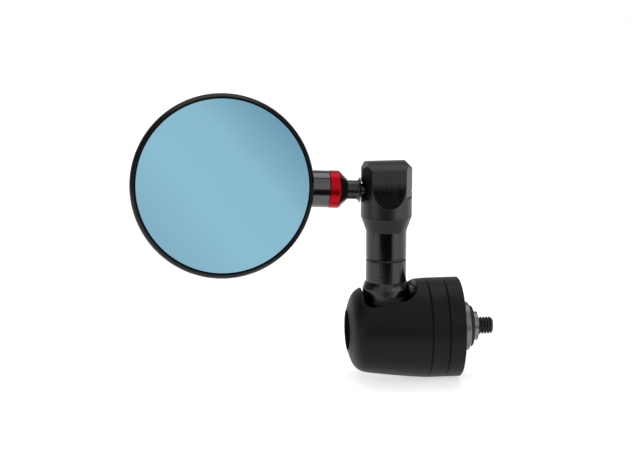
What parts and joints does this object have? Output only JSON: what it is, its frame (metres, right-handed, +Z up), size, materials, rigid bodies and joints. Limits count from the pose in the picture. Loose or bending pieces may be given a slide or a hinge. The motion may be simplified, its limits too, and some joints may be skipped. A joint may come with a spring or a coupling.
{
  "type": "bar-end mirror",
  "caption": "Round mirror on a jointed arm that stands in a turned bar-end weight, held in the handlebar by a through bolt.",
  "frame": {"origin": "centre of the weight's face that butts the handlebar's end", "axes": "+X into the handlebar along the bolt, +Y away from the rider, +Z up along the arm; the glass faces -Y"},
  "size_m": [0.1229, 0.0338, 0.0988],
  "materials": {
    "black_anodised": "satin black anodised aluminium",
    "stem_grey": "satin dark grey anodised aluminium",
    "red_anodised": "satin red anodised aluminium",
    "satin_aluminium": "satin turned",
    "zinc_steel": "bright zinc",
    "black_steel": "black oxide steel",
    "rubber": "smooth nitrile",
    "nylon": "moulded acetal",
    "black_acetal": "smooth black acetal",
    "foam": "adhesive foam pad",
    "mirror_blue": "blue tinted mirror glass"
  },
  "bodies": {
    "weight": {"weight_body": "black_anodised", "spacer_ring_inner": "black_anodised", "spacer_ring_outer": "black_anodised", "register_disc": "satin_aluminium", "seal_ring": "rubber", "clamp_washer": "zinc_steel", "bolt_washer": "zinc_steel", "main_bolt": "black_steel"},
    "plunger": {"ball_plunger": "black_steel"},
    "lower_arm": {"lower_ball_arm": "black_anodised", "wave_washer": "zinc_steel"},
    "upper_arm": {"arm_head": "black_anodised", "swivel_screw": "black_steel", "swivel_washer": "black_acetal", "socket_ring": "black_anodised", "tension_screw": "black_steel"},
    "ball_cup": {"ball_cup": "nylon"},
    "stud": {"ball_stud": "stem_grey"},
    "mirror": {"cone_collar": "black_anodised", "accent_ring": "red_anodised", "mirror_stem": "stem_grey", "mirror_housing": "black_anodised", "glass_pad": "foam", "mirror_glass": "mirror_blue"}
  },
  "joints": [
    {"name": "base_tilt", "type": "hinge", "parent": "weight", "child": "plunger", "pos_m": [-0.02495, 0, 0.0125], "axis": [1, 0, 0], "range_deg": [-35, 35]},
    {"name": "base_lean", "type": "hinge", "parent": "plunger", "child": "lower_arm", "pos_m": [-0.02495, 0, 0.0125], "axis": [0, 1, 0], "range_deg": [-15, 15]},
    {"name": "arm_swivel", "type": "hinge", "parent": "lower_arm", "child": "upper_arm", "pos_m": [-0.02495, 0, 0.0245], "axis": [0, 0, 1], "continuous": true},
    {"name": "mirror_roll", "type": "hinge", "parent": "upper_arm", "child": "ball_cup", "pos_m": [-0.02495, 0, 0.0477], "axis": [1, 0, 0], "continuous": true},
    {"name": "mirror_nod", "type": "hinge", "parent": "ball_cup", "child": "stud", "pos_m": [-0.02495, 0, 0.0477], "axis": [0, 1, 0], "range_deg": [-9, 3]},
    {"name": "mirror_spin", "type": "hinge", "parent": "stud", "child": "mirror", "pos_m": [-0.02495, 0, 0.0477], "axis": [-0.9985, 0, 0.055], "continuous": true}
  ]
}
